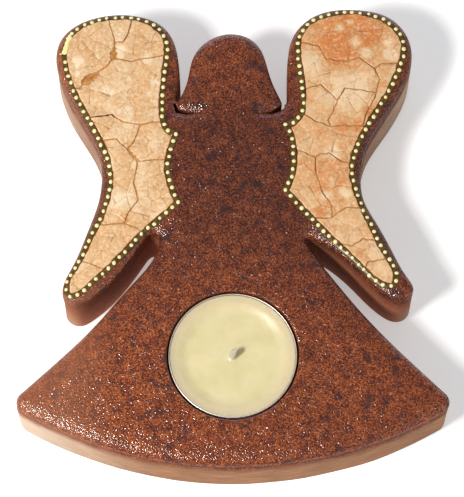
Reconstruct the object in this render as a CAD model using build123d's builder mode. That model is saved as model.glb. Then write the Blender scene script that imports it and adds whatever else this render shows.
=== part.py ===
# Angel tea-light holder: a hand-cut slab of fired clay in the shape of an angel, lying on its
# back, with eggshell mosaic set into both wings, a border of raised paint dots round each
# mosaic, and a tea light standing in a round pocket in the robe.
# +X is the viewer's right, +Y runs from the hem to the head and +Z is up, in millimetres.
# The origin is under the middle of the slab, on the surface that it lies on.

import math
import os

from build123d import *

os.makedirs("parts", exist_ok=True)

# ---------------------------------------------------------------- driving dimensions
slab_thickness = 25.0
lip_radius = 2.2  # rounding of the slab's top edge
foot_radius = 0.8  # rounding of the slab's bottom edge

cup_centre = (0.0, -38.6)
cup_radius = 19.0  # a standard tea light is 38 mm across
cup_height = 15.0
cup_wall = 0.3
cup_corner_radius = 1.2
rim_bead_radius = 0.35  # the rolled edge of the aluminium cup
rim_below_face = 0.5  # how far the cup's rim stays under the slab's face
pocket_clearance = 0.6  # round the cup
pocket_mouth_radius = 0.7

wax_clearance = 0.2  # round the wax, inside the cup
wax_below_rim = 0.7
meniscus = 0.4  # the wax climbs this much at the cup's wall
wick_radius = 0.8
wick_above_wax = 3.0
sustainer_radius = 6.5  # the steel disc that holds the wick upright
sustainer_thickness = 0.3
sustainer_neck_radius = 1.6
sustainer_neck_height = 5.0

recess_depth = 0.6  # the bed for the eggshell, sunk into each wing
bed_thickness = 0.25  # the layer of glue under the eggshell
shell_thickness = 0.45
crack_width = 0.35  # the open joint between two pieces of eggshell
dots_to_recess = 1.0  # from the middle of the dots to the edge of the recess
dot_radius = 0.68
dot_height = 0.5
dot_rounding = 0.4
dot_pitch = 2.45

# ---------------------------------------------------------------- the angel's outline
hem_left = (-66.3, -53.2)
hem_middle = (0.0, -72.1)
hem_right = (66.3, -53.2)
right_slit_root = (21.0, -1.2)  # the upper end of the slit between robe and wing
left_slit_root = (-21.9, -1.6)
right_notch = (15.7, 39.2)  # the lower end of the gap between wing and hair
left_notch = (-17.4, 41.0)

right_robe_edge = [(49.7, -37.1), (39.7, -26.5), (29.0, -13.2), (25.0, -7.8)]
right_wing_edge = [
    (25.2, -2.7), (30.2, -5.7), (35.7, -10.4), (40.7, -15.5), (45.7, -19.9), (49.7, -21.6),
    (52.9, -20.4), (54.0, -17.5), (52.3, -14.1), (47.7, -5.5), (42.7, 4.0), (39.7, 9.8),
    (38.7, 15.0), (39.1, 20.8), (40.7, 27.2), (45.7, 36.0), (51.7, 46.0), (54.3, 52.5),
    (54.8, 58.5), (52.7, 64.8), (46.7, 70.2), (39.7, 71.9), (33.7, 72.1), (27.2, 70.9),
    (21.4, 67.2), (17.9, 61.7), (16.9, 54.5), (16.7, 44.5),
]
head_edge = [
    (14.5, 42.6), (12.5, 47.0), (10.6, 53.0), (8.6, 58.9), (4.9, 62.7), (-0.3, 64.1),
    (-5.5, 63.0), (-10.2, 59.5), (-12.5, 55.3), (-13.8, 49.0), (-15.5, 44.3),
]
left_wing_edge = [
    (-16.9, 44.7), (-16.3, 49.5), (-16.7, 55.5), (-18.3, 62.0), (-22.1, 67.0), (-27.9, 69.6),
    (-34.3, 70.4), (-41.3, 69.6), (-48.3, 66.7), (-52.7, 62.1), (-54.1, 56.0), (-52.7, 49.0),
    (-48.8, 40.2), (-42.9, 30.1), (-40.5, 24.5), (-39.6, 18.0), (-40.6, 9.3), (-43.6, 0.5),
    (-47.8, -10.1), (-50.8, -17.1), (-50.5, -20.7), (-46.8, -22.9), (-42.3, -20.9),
    (-36.8, -16.1), (-31.8, -10.1), (-27.3, -3.6), (-24.7, -0.7),
]
left_robe_edge = [(-22.6, -5.4), (-30.3, -16.5), (-42.3, -30.5), (-50.3, -38.5)]

# where two stretches of the outline meet, the clay was smoothed to these radii
corner_radii = {
    hem_left: 3.5,
    hem_right: 3.5,
    right_slit_root: 0.8,
    left_slit_root: 0.8,
    right_notch: 0.7,
    left_notch: 0.3,
}

# the knife cuts under the two tips of the hair, which part the head from the shoulders
right_neck_cut = [
    (8.2, 38.2), (12.0, 39.0), (14.0, 40.3), (15.6, 42.2), (15.9, 40.0), (14.4, 38.7), (12.0, 37.9),
]
left_neck_cut = [
    (-10.6, 38.2), (-14.3, 37.7), (-17.4, 38.3), (-18.3, 41.2), (-17.5, 41.6), (-16.6, 39.6),
    (-13.8, 38.7),
]
neck_cut_lip = 1.2  # how far the mouth of each cut is worn open

# ---------------------------------------------------------------- borders of the two mosaics
# Each border runs round the outer side from the shoulder to the waist, then back up the inner side.
wing_borders = {
    "left": {
        "inward_turn": 90,
        "outer": [
            (-17.3, 30.8), (-20.2, 32.7), (-21.4, 37.5), (-21.4, 43.5), (-20.8, 50.5),
            (-20.1, 57.5), (-21.0, 62.7), (-24.3, 66.4), (-29.3, 68.6), (-35.3, 69.1),
            (-42.1, 68.0), (-47.8, 65.1), (-51.0, 60.7), (-51.6, 55.5), (-50.5, 50.3),
            (-47.7, 43.0), (-42.9, 33.7), (-39.1, 26.1), (-37.1, 18.5), (-37.3, 12.5),
            (-39.5, 4.9), (-43.5, -3.8), (-47.3, -11.8), (-49.7, -17.7), (-48.6, -20.4),
            (-45.6, -19.5), (-40.8, -15.3), (-34.5, -9.0), (-27.3, -1.0), (-21.7, 4.2),
            (-16.5, 9.0),
        ],
        "inner": [(-16.5, 9.0), (-18.5, 14.1), (-19.8, 20.2), (-19.1, 24.8), (-17.3, 30.8)],
    },
    "right": {
        "inward_turn": -90,
        "outer": [
            (16.0, 33.8), (18.7, 34.8), (20.7, 37.3), (21.4, 43.0), (20.9, 49.5), (20.1, 55.5),
            (20.4, 62.5), (23.2, 67.1), (28.7, 69.7), (36.2, 70.8), (42.7, 69.8), (48.5, 66.6),
            (51.8, 62.5), (52.4, 57.5), (50.7, 51.8), (47.3, 44.1), (42.5, 36.3), (38.3, 28.3),
            (36.4, 22.5), (36.3, 16.8), (38.3, 9.7), (42.7, -0.7), (46.2, -7.7), (48.8, -13.3),
            (47.9, -17.0), (44.2, -16.4), (39.7, -12.7), (34.0, -6.7), (27.0, 0.3), (20.7, 7.3),
            (15.8, 12.8),
        ],
        "inner": [(15.8, 12.8), (17.9, 18.2), (18.5, 24.5), (17.9, 29.3), (16.0, 33.8)],
    },
}

# the open joints between the pieces of eggshell, each a line right across or up to another joint
wing_cracks = {
    "left": [
        [(-54.3, 45.8), (-46.3, 45.8), (-44.9, 48.5), (-38.8, 52.5), (-36.5, 55.5),
         (-31.3, 54.5), (-25.8, 55.5), (-16.3, 57.3)],
        [(-36.5, 55.5), (-36.1, 60.5), (-37.1, 65.0), (-39.3, 72.5)],
        [(-36.1, 60.5), (-33.6, 60.9), (-31.8, 64.0), (-30.3, 72.5)],
        [(-50.3, 35.0), (-41.3, 36.3), (-36.8, 37.1), (-33.3, 34.7), (-28.1, 33.9),
         (-21.3, 35.1), (-16.3, 34.5)],
        [(-28.1, 33.9), (-29.7, 28.5), (-32.1, 26.1), (-28.6, 22.1), (-23.3, 22.5),
         (-14.3, 23.7)],
        [(-45.3, 27.8), (-35.3, 29.2), (-32.1, 26.1)],
        [(-28.6, 22.1), (-29.9, 15.5), (-28.5, 10.0), (-31.3, 5.5), (-32.7, 2.4)],
        [(-45.3, 3.1), (-38.3, 2.0), (-32.7, 2.4), (-29.3, 1.1), (-22.3, -3.5)],
        [(-52.3, -12.1), (-44.8, -9.7), (-41.8, -10.8), (-34.3, -13.5)],
    ],
    "right": [
        [(13.7, 61.1), (22.2, 60.5), (26.2, 59.5), (28.7, 55.3), (34.2, 54.3), (38.7, 55.5),
         (43.2, 52.1), (45.7, 53.5), (57.7, 54.0)],
        [(43.2, 52.1), (44.7, 48.7), (43.7, 44.0), (40.7, 37.3), (39.3, 33.4)],
        [(13.7, 44.5), (20.7, 44.9), (26.7, 47.0), (31.9, 41.8), (34.3, 45.8), (38.7, 45.3),
         (43.7, 44.0)],
        [(31.9, 41.8), (30.5, 38.0), (29.1, 35.3), (29.7, 33.5)],
        [(13.7, 40.0), (20.7, 38.2), (25.7, 34.8), (29.7, 33.5), (39.3, 33.4), (45.7, 33.0)],
        [(11.7, 26.1), (20.3, 25.3), (24.9, 23.6), (29.2, 24.9), (33.2, 22.1), (41.7, 21.0)],
        [(24.9, 23.6), (25.1, 18.5), (27.0, 12.5), (29.9, 8.0), (29.7, 4.1)],
        [(15.7, 4.9), (25.7, 4.1), (29.7, 4.1), (33.7, 7.3), (45.7, 7.1)],
        [(27.7, -5.9), (32.7, -4.1), (35.7, -4.7), (39.2, -2.5), (49.7, -3.9)],
        [(37.7, -14.5), (40.7, -9.7), (45.7, -8.6), (52.7, -10.0)],
    ],
}


def mosaic_sketch(side, height):
    """The area of one wing's mosaic, just inside its border of dots, as a sketch at a height."""
    border = wing_borders[side]
    with BuildLine(mode=Mode.PRIVATE) as border_lines:
        outer_run = Spline(*border["outer"])
        inner_run = Spline(*border["inner"])
    moved_runs = []
    for run, points in ((outer_run, border["outer"]), (inner_run, border["inner"])):
        moved_points = []
        for point in points[1:-1]:
            inwards = run.tangent_at(point).rotate(Axis.Z, border["inward_turn"])
            moved_points.append(Vector(*point) + inwards * dots_to_recess)
        moved_runs.append(moved_points)
    corners = []
    for leaving, arriving in ((outer_run, inner_run), (inner_run, outer_run)):
        one_way = leaving % 0
        other_way = (arriving % 1) * -1
        half_angle = math.radians(one_way.get_angle(other_way) / 2)
        bisector = (one_way + other_way).normalized()
        corners.append((leaving @ 0) + bisector * (dots_to_recess / math.sin(half_angle)))
    shoulder_corner, waist_corner = corners
    with BuildSketch(Plane.XY.offset(height)) as area:
        with BuildLine():
            Spline(shoulder_corner, *moved_runs[0], waist_corner)
            Spline(waist_corner, *moved_runs[1], shoulder_corner)
        make_face()
    return area.sketch


# ---------------------------------------------------------------- the clay
recess_floor = slab_thickness - recess_depth
pocket_radius = cup_radius + pocket_clearance
cup_bottom = slab_thickness - rim_below_face - cup_height
pocket_mouth = Plane((*cup_centre, slab_thickness))

with BuildPart() as clay_body:
    with BuildSketch():
        with BuildLine():
            ThreePointArc(hem_left, hem_middle, hem_right)
            Spline(hem_right, *right_robe_edge, right_slit_root)
            Spline(right_slit_root, *right_wing_edge, right_notch)
            Spline(right_notch, *head_edge, left_notch)
            Spline(left_notch, *left_wing_edge, left_slit_root)
            Spline(left_slit_root, *left_robe_edge, hem_left)
        make_face()
    extrude(amount=slab_thickness)
    for corner, radius in corner_radii.items():
        upright_edges = clay_body.edges().filter_by(Axis.Z)
        fillet(upright_edges.sort_by_distance((*corner, slab_thickness / 2))[0], radius)
    fillet(clay_body.faces().sort_by(Axis.Z)[0].edges(), foot_radius)
    fillet(clay_body.faces().sort_by(Axis.Z)[-1].edges(), lip_radius)
    for neck_cut in (right_neck_cut, left_neck_cut):
        with BuildSketch():
            Polygon(*neck_cut, align=None)
        extrude(amount=slab_thickness, mode=Mode.SUBTRACT)
        with BuildSketch(Plane.XY.offset(slab_thickness)):
            Polygon(*neck_cut, align=None)
            offset(amount=neck_cut_lip)
        extrude(amount=-neck_cut_lip, taper=40, mode=Mode.SUBTRACT)
    for side in wing_borders:
        extrude(mosaic_sketch(side, slab_thickness), amount=-recess_depth, mode=Mode.SUBTRACT)
    with BuildSketch(pocket_mouth):
        Circle(pocket_radius)
    extrude(amount=cup_bottom - slab_thickness, mode=Mode.SUBTRACT)
    round_edges = clay_body.edges().filter_by(GeomType.CIRCLE)
    fillet(round_edges.sort_by_distance((*cup_centre, 2 * slab_thickness))[0], pocket_mouth_radius)
clay_body.part.label = "clay_body"
export_step(clay_body.part, "parts/clay_body.step")

# ---------------------------------------------------------------- eggshell mosaics
bed_top = recess_floor + bed_thickness

for side in wing_borders:
    with BuildPart() as inlay_bed:
        extrude(mosaic_sketch(side, recess_floor), amount=bed_thickness)
    inlay_bed.part.label = f"{side}_inlay_bed"
    export_step(inlay_bed.part, f"parts/{side}_inlay_bed.step")

    with BuildSketch(Plane.XY.offset(bed_top)) as mosaic:
        add(mosaic_sketch(side, bed_top))
        for crack in wing_cracks[side]:
            with BuildLine() as joint_line:
                Polyline(*crack)
            trace(joint_line.edges(), line_width=crack_width, mode=Mode.SUBTRACT)
    shell_outlines = mosaic.sketch.faces().sort_by(Axis.Y, reverse=True)
    for number, shell_outline in enumerate(shell_outlines, start=1):
        with BuildPart() as shell:
            extrude(shell_outline, amount=shell_thickness)
        shell.part.label = f"{side}_shell_{number:02d}"
        export_step(shell.part, f"parts/{side}_shell_{number:02d}.step")
        print(shell.part.label, round(shell_outline.area, 1))

# ---------------------------------------------------------------- borders of raised dots
for side, border in wing_borders.items():
    dot_places = []
    for run in ("outer", "inner"):
        with BuildLine() as border_line:
            Spline(*border[run])
        run_of_dots = border_line.line.edges()[0]
        dot_count = round(run_of_dots.length / dot_pitch)
        dot_places += [run_of_dots @ (number / dot_count) for number in range(dot_count)]
    with BuildPart() as dots:
        with BuildSketch(Plane.XY.offset(slab_thickness)):
            with Locations(*dot_places):
                Circle(dot_radius)
        extrude(amount=dot_height)
        fillet(dots.faces().group_by(Axis.Z)[-1].edges(), dot_rounding)
    dots.part.label = f"{side}_dots"
    export_step(dots.part, f"parts/{side}_dots.step")
    print(dots.part.label, len(dots.solids()))

# ---------------------------------------------------------------- the tea light
# Profiles are drawn as radius and height in this plane, and turned about the candle's axis.
candle_axis = Axis((*cup_centre, 0), (0, 0, 1))
candle_plane = Plane(origin=(*cup_centre, cup_bottom), x_dir=(1, 0, 0), z_dir=(0, -1, 0))
cup_inner_radius = cup_radius - cup_wall
wax_radius = cup_inner_radius - wax_clearance
wax_top = cup_height - wax_below_rim

with BuildPart() as tealight_cup:
    with BuildSketch(candle_plane):
        with BuildLine() as cup_outside:
            FilletPolyline(
                (0, 0), (cup_radius, 0), (cup_radius, cup_height), radius=cup_corner_radius
            )
            Line((cup_radius, cup_height), (cup_inner_radius, cup_height))
            FilletPolyline(
                (cup_inner_radius, cup_height), (cup_inner_radius, cup_wall), (0, cup_wall),
                radius=cup_corner_radius - cup_wall,
            )
            Line((0, cup_wall), (0, 0))
        make_face()
        with Locations((cup_radius - cup_wall / 2, cup_height - rim_bead_radius)):
            Circle(rim_bead_radius)
    revolve(axis=candle_axis)
tealight_cup.part.label = "tealight_cup"
export_step(tealight_cup.part, "parts/tealight_cup.step")

sustainer_top = cup_wall + sustainer_thickness
with BuildPart() as wick_sustainer:
    with BuildSketch(candle_plane):
        with BuildLine():
            Polyline(
                (wick_radius, cup_wall), (sustainer_radius, cup_wall),
                (sustainer_radius, sustainer_top), (sustainer_neck_radius, sustainer_top),
                (sustainer_neck_radius - 0.4, cup_wall + sustainer_neck_height),
                (wick_radius, cup_wall + sustainer_neck_height), close=True,
            )
        make_face()
    revolve(axis=candle_axis)
wick_sustainer.part.label = "wick_sustainer"
export_step(wick_sustainer.part, "parts/wick_sustainer.step")

with BuildPart() as wick:
    with BuildSketch(candle_plane):
        with Locations((0, cup_wall)):
            Rectangle(
                wick_radius, wax_top + wick_above_wax - cup_wall, align=(Align.MIN, Align.MIN)
            )
    revolve(axis=candle_axis)
    fillet(wick.faces().sort_by(Axis.Z)[-1].edges(), wick_radius / 3)
wick.part.label = "wick"
export_step(wick.part, "parts/wick.step")

with BuildPart() as wax:
    with BuildSketch(candle_plane):
        with BuildLine():
            FilletPolyline(
                (0, cup_wall), (wax_radius, cup_wall), (wax_radius, wax_top + meniscus),
                radius=cup_corner_radius - cup_wall,
            )
            Spline(
                (wax_radius, wax_top + meniscus), (wax_radius - 1.2, wax_top + 0.08),
                (wax_radius - 3.0, wax_top), (0, wax_top),
                tangents=((-0.5, -1), (-1, 0)),
            )
            Line((0, wax_top), (0, cup_wall))
        make_face()
    revolve(axis=candle_axis)
    add(wick.part, mode=Mode.SUBTRACT)
    add(wick_sustainer.part, mode=Mode.SUBTRACT)
wax.part.label = "wax"
export_step(wax.part, "parts/wax.step")
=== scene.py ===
# %% [markdown]
# # A clay angel that holds a tea light
# The object is a thick slab of fired clay, cut by hand in the shape of an angel and laid on its
# back. Eggshell mosaic fills both wings, a dark painted band with raised pale dots runs round each
# mosaic, and a tea light stands in a round pocket in the robe. This lesson starts from a finished
# engineering model, which gives every place and size, and makes the pieces worth looking at:
# worn clay under lacquer, crazed eggshell, beads of paint, foil, wax and a cotton wick.

import math

import bmesh
import bpy
import numpy as np
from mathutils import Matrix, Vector, noise
from mathutils.bvhtree import BVHTree
from mathutils.geometry import delaunay_2d_cdt
from mathutils.kdtree import KDTree


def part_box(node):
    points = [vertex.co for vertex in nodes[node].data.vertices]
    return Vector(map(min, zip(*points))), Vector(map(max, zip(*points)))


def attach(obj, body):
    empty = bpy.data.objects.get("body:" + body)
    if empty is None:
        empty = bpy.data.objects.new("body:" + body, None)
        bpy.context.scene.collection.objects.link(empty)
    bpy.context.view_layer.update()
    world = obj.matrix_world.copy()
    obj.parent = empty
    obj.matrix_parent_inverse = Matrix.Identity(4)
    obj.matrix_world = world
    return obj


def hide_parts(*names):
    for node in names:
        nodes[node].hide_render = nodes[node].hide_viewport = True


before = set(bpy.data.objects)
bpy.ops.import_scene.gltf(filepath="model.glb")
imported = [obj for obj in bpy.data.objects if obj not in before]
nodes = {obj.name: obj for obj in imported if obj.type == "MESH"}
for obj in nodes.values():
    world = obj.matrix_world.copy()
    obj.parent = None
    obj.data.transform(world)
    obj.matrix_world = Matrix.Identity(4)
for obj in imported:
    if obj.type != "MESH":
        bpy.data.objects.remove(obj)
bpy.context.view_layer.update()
MM = 0.001
slab_low, slab_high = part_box("clay_body")
slab_middle = (slab_low + slab_high) / 2
print("the slab measures, in mm:", [round(side / MM, 1) for side in slab_high - slab_low])


def link_object(name, data):
    """A new object in the scene."""
    made = bpy.data.objects.new(name, data)
    bpy.context.scene.collection.objects.link(made)
    return made


def paint(piece, finish):
    """Gives a piece one material in place of any that it had."""
    piece.data.materials.clear()
    piece.data.materials.append(finish)


# %% [markdown]
# ## Camera
# The angel is seen from above its hem, almost straight down, so the hem's wall and the walls of the
# lower wing edges show as narrow strips. A long lens from nearly a metre away keeps the outline
# flat and even. Everything is placed from the slab's own box, so the view stays right if the slab
# changes. The camera comes first, because each finish is judged through it.

# %% Place the camera
VIEW_TILT = math.radians(72.5)
VIEW_DISTANCE = 905 * MM
LENS, SENSOR = 215.6, 36
view_target = slab_middle + Vector((-0.3, -1.5, -0.5)) * MM
towards_camera = Vector((0, -math.cos(VIEW_TILT), math.sin(VIEW_TILT)))

camera_data = bpy.data.cameras.new("view")
camera_data.lens = LENS
camera_data.sensor_width = SENSOR
camera = link_object("view", camera_data)
camera.location = view_target + towards_camera * VIEW_DISTANCE
camera.rotation_euler = towards_camera.to_track_quat("Z", "Y").to_euler()
bpy.context.scene.camera = camera
print("the camera stands", round(VIEW_DISTANCE / MM), "mm away")

# %% [markdown]
# ## Light
# One small bright window to the left of the hem makes the sparks along the rounded lips. A weak
# cool panel low behind the head gives the bluish sheen on the lips that face away, and a wide
# panel on the right fills the rest.

# %% Lights and world
def soft_panel(name, direction, distance, size, power, colour):
    """An area light of one size in metres that looks at the slab from one direction."""
    data = bpy.data.lights.new(name, "AREA")
    data.shape = "RECTANGLE"
    data.size, data.size_y = size
    data.energy = power
    data.color = colour
    panel = link_object(name, data)
    panel.location = slab_middle + Vector(direction).normalized() * distance
    panel.rotation_euler = Vector(direction).to_track_quat("Z", "Y").to_euler()


soft_panel("window", (-0.50, -0.34, 0.80), 1.0, (0.21, 0.21), 11.2, (1.0, 0.97, 0.93))
soft_panel("room_side", (0.75, -0.45, 0.55), 1.2, (0.8, 0.8), 2.2, (1.0, 0.99, 0.97))
soft_panel("cool_back", (0.02, 0.95, 0.26), 0.9, (1.0, 0.20), 2.3, (0.68, 0.74, 1.0))

world = bpy.data.worlds.new("pale_room")
world.use_nodes = True
world.node_tree.nodes["Background"].inputs["Color"].default_value = (1.0, 1.0, 1.0, 1)
world.node_tree.nodes["Background"].inputs["Strength"].default_value = 0.22
bpy.context.scene.world = world
bpy.context.scene.view_settings.view_transform = "Standard"
print("three panels and a pale room")

# %% [markdown]
# ## Small tools for shaders
# Every finish below is built from the same few steps: take the piece's own coordinates, turn them
# from metres into millimetres so that sizes read as they would on a bench, lay noise patterns over
# each other, and feed the result to one Principled shader. These helpers keep each recipe short:
# they add their nodes to the material that was opened last.

# %% Shader helpers
opened = None


def new_finish(name, **sockets):
    """Opens a material with even values on its Principled shader; the helpers below add to it."""
    global opened
    opened = bpy.data.materials.new(name)
    opened.use_nodes = True
    shader = opened.node_tree.nodes["Principled BSDF"]
    for socket, value in sockets.items():
        shader.inputs[socket.replace("_", " ")].default_value = value
    return opened


def tree_node(tree, kind, inputs=None, **settings):
    """Adds a node, sets its fields, and fills its inputs with values or with other sockets."""
    made = tree.nodes.new(kind)
    for field, value in settings.items():
        setattr(made, field, value)
    for socket, value in (inputs or {}).items():
        if isinstance(value, bpy.types.NodeSocket):
            tree.links.new(value, made.inputs[socket])
        else:
            made.inputs[socket].default_value = value
    return made


def add_node(kind, inputs=None, **settings):
    return tree_node(opened.node_tree, kind, inputs, **settings)


def attribute(name):
    return add_node("ShaderNodeAttribute", attribute_name=name).outputs["Fac"]


def millimetres(stretch=(1, 1, 1), start=(0, 0, 0)):
    """The piece's own coordinates in millimetres, stretched to draw a pattern out."""
    place = add_node("ShaderNodeTexCoord").outputs["Object"]
    scale = [factor / MM for factor in stretch]
    mapping = {"Vector": place, "Scale": scale, "Location": start}
    return add_node("ShaderNodeMapping", mapping).outputs["Vector"]


def cloud(place, grain, detail=2.0, roughness=0.5, distortion=0.0):
    """Noise whose lumps are about this many millimetres across."""
    return add_node(
        "ShaderNodeTexNoise",
        {"Vector": place, "Scale": 1 / grain, "Detail": detail, "Roughness": roughness,
         "Distortion": distortion},
    ).outputs["Fac"]


def colour_ramp(factor, stops):
    """Colours along a factor, as (position, (r, g, b)) pairs."""
    ramp = add_node("ShaderNodeValToRGB", {"Fac": factor})
    elements = ramp.color_ramp.elements
    while len(elements) < len(stops):
        elements.new(0.5)
    for element, (position, colour) in zip(elements, stops):
        element.position = position
        element.color = (*colour, 1)
    return ramp.outputs["Color"]


def blend_colours(factor, first, second, how="MIX"):
    """Lays the second colour over the first by a factor."""
    first, second = (
        colour if isinstance(colour, bpy.types.NodeSocket) else (*colour, 1)
        for colour in (first, second)
    )
    return add_node(
        "ShaderNodeMix", {0: factor, 6: first, 7: second}, data_type="RGBA", blend_type=how
    ).outputs[2]


def layered(ground, *layers):
    """Lays colours over a ground one after another, as (factor, colour) or (factor, colour, how)."""
    for factor, colour, *how in layers:
        ground = blend_colours(factor, ground, colour, *how)
    return ground


def rescale(value, low, high, to_low=0.0, to_high=1.0):
    """Maps a value from one range to another and stops at its ends."""
    return add_node(
        "ShaderNodeMapRange",
        {"Value": value, "From Min": low, "From Max": high, "To Min": to_low, "To Max": to_high},
    ).outputs["Result"]


def arithmetic(operation, first, second):
    return add_node("ShaderNodeMath", {0: first, 1: second}, operation=operation).outputs[0]


def times(first, second):
    return arithmetic("MULTIPLY", first, second)


def relief(height, depth, below=None):
    """A bump from a height in millimetres times depth, laid over another bump."""
    inputs = {"Height": height, "Strength": 1.0, "Distance": depth * MM}
    if below is not None:
        inputs["Normal"] = below
    return add_node("ShaderNodeBump", inputs).outputs["Normal"]


def feed(**sockets):
    """Connects sockets to the Principled shader's inputs."""
    shader = opened.node_tree.nodes["Principled BSDF"]
    for socket, source in sockets.items():
        opened.node_tree.links.new(source, shader.inputs[socket.replace("_", " ")])


def mottled_finish(name, lumps, stops, grit, depth, **sockets):
    """A plain finish whose colour drifts between stops over a fine relief."""
    finish = new_finish(name, **sockets)
    place = millimetres()
    feed(Base_Color=colour_ramp(cloud(place, *lumps), stops), Normal=relief(cloud(place, *grit), depth))
    return finish


# %% [markdown]
# ## Lacquered clay
# The clay is dark purplish brown, speckled with rust-red grog, and lies under a thick glossy
# lacquer that has fine pits in it, so highlights break up into sparks, and pale specks painted into
# its colour add more sparks as painted highlights. The face and the narrow slits are lacquered, but
# the lower outer walls are painted a pale tan with faint level bands from rolling: partly bare clay
# and partly a painted reflection of the pale table. An attribute on the mesh, made further down,
# says how open a wall is, and the recipe reads it to know where the walls turn pale.

# %% Clay recipe
def lacquered_clay():
    finish = new_finish("lacquered_clay", Roughness=0.5, Coat_Weight=1.0, Coat_Roughness=0.07,
                        Specular_IOR_Level=0.12)
    place = millimetres()
    x, y, z = add_node("ShaderNodeSeparateXYZ", {"Vector": place}).outputs
    openness = attribute("open_wall")

    # where the walls turn pale tan, bare clay and a painted reflection of the pale table, by height and by
    # how open the wall is
    pale_wall_edge = arithmetic("ADD", z, rescale(cloud(place, 6.0, 4.0, 0.6), 0.2, 0.8, -1.8, 1.8))
    open_side = times(rescale(pale_wall_edge, 20.8, 14.8), rescale(openness, 0.7, 1.0))
    slit_foot = times(rescale(pale_wall_edge, 14.0, 5.0, 0.0, 0.60), rescale(openness, 0.1, 0.5))
    bare_clay_and_reflection = arithmetic("MAXIMUM", open_side, slit_foot)
    # painted light: low walls that face a narrow slit are lifted to a lighter reddish brown, making up for
    # the shade they sit in
    slit_shade = times(rescale(openness, 1.0, 0.6, 0.0, 0.75), rescale(z, 23.0, 14.0))

    # the lacquered face: grog, iron spots, darker and more purple towards the head and the right, and pale
    # specks painted in as glints
    grain = cloud(place, 0.46, detail=4.0, roughness=0.72)
    clumps = rescale(cloud(place, 2.6, detail=3.0, roughness=0.6), 0.3, 0.7, -0.05, 0.05)
    upper = times(rescale(y, -34.0, 8.0, 0.0, 0.72), rescale(y, 34.0, 50.0, 1.0, 0.30))
    # painted highlight: sparse pale specks in the colour stand for glints on the pitted lacquer
    glint_specks = add_node("ShaderNodeTexVoronoi", {"Vector": place, "Scale": 0.62}).outputs
    chosen = add_node("ShaderNodeSeparateColor", {"Color": glint_specks["Color"]}).outputs[0]
    face = layered(
        colour_ramp(arithmetic("ADD", grain, clumps), [
            (0.37, (0.026, 0.007, 0.008)), (0.455, (0.105, 0.021, 0.008)),
            (0.52, (0.245, 0.050, 0.012)), (0.58, (0.370, 0.088, 0.019)),
            (0.68, (0.560, 0.200, 0.070)),
        ]),
        (rescale(cloud(place, 4.2, 2.0, 0.45), 0.40, 0.30, 0.0, 0.75), (0.045, 0.016, 0.017)),
        (arithmetic("ADD", upper, rescale(x, -60.0, 45.0, 0.0, 0.38)), (0.46, 0.46, 0.66), "MULTIPLY"),
        (rescale(x, -34.0, -48.0, 0.0, 0.35), (0.36, 0.15, 0.08)),
        (times(rescale(glint_specks["Distance"], 0.16, 0.08), rescale(chosen, 0.88, 0.92)),
         (0.62, 0.42, 0.32)),
        (slit_shade, (0.42, 0.155, 0.080)),
    )

    # the pale walls, bare clay and a painted reflection of the pale table: level bands, blotches, a paler
    # left end and a tanner middle of the hem
    bands = cloud(millimetres((0.13, 0.13, 0.80)), 1.0, 4.0, 0.62)
    bare_clay_and_reflection_colour = layered(
        colour_ramp(bands, [
            (0.28, (0.35, 0.215, 0.140)), (0.50, (0.46, 0.30, 0.205)), (0.72, (0.57, 0.41, 0.30)),
        ]),
        (rescale(cloud(place, 9.0, 3.0, 0.55), 0.42, 0.66, 0.0, 0.5), (0.29, 0.20, 0.15)),
        # painted light: the left end of the hem wall, nearest the window, is lightened
        (times(rescale(x, -26.0, -60.0, 0.0, 0.45), rescale(y, -25.0, -40.0)), (0.92, 0.78, 0.62)),
        (times(rescale(y, -25.0, -45.0, 0.0, 0.9), rescale(x, -58.0, -20.0, 0.10, 1.0)),
         (0.78, 0.55, 0.38), "MULTIPLY"),
        # painted shade: a dark line along the foot of every wall stands for its contact shadow
        (rescale(z, 1.6, 0.4), (0.14, 0.085, 0.055)),
    )

    pits = times(cloud(place, 0.44, 0.0), rescale(bare_clay_and_reflection, 0.0, 0.8, 1.0, 0.0))
    bumps = relief(cloud(place, 2.4, 2.0, 0.5), 0.16, relief(pits, 0.185))
    bumps = relief(bands, 0.12, bumps)
    # the pale walls, partly a painted reflection of the table, take the place of the lacquered face and
    # lose their coat
    feed(
        Base_Color=blend_colours(bare_clay_and_reflection, face, bare_clay_and_reflection_colour), Normal=bumps, Coat_Normal=bumps,
        Coat_Weight=times(rescale(bare_clay_and_reflection, 0.0, 0.6, 1.0, 0.0), rescale(z, 22.5, 23.9, 0.02, 1.0)),
        Roughness=rescale(z, 22.0, 24.0, 0.85, 0.50),
    )
    return finish


clay_finish = lacquered_clay()
print("made the recipe", clay_finish.name)

# %% [markdown]
# ## Reading outlines from the model
# Several pieces are worked up from the engineering model's flat faces. A flat face's rim is the set
# of edges that only one of its triangles uses, and walking those edges from point to point gives
# the outline.

# %% Outline helpers
def merged_copy(node):
    """A mesh of one part of the engineering model, with its loose triangles joined."""
    mesh = bmesh.new()
    mesh.from_mesh(nodes[node].data)
    bmesh.ops.remove_doubles(mesh, verts=mesh.verts, dist=0.001 * MM)
    return mesh


def rings_round(flat):
    """The closed rings of vertices that bound a set of faces, each in order."""
    following = {}
    for face in flat:
        for loop in face.loops:
            if not any(other in flat for other in loop.edge.link_faces if other is not face):
                following[loop.vert] = loop.link_loop_next.vert
    rings = []
    while following:
        start, current = following.popitem()
        ring = [start]
        while current is not start:
            ring.append(current)
            current = following.pop(current)
        rings.append(ring)
    return rings


def flat_top(mesh):
    """The faces of a mesh that make its highest level surface."""
    near_top = max(vertex.co.z for vertex in mesh.verts) - 0.001 * MM
    return {face for face in mesh.faces if all(vertex.co.z > near_top for vertex in face.verts)}


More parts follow.
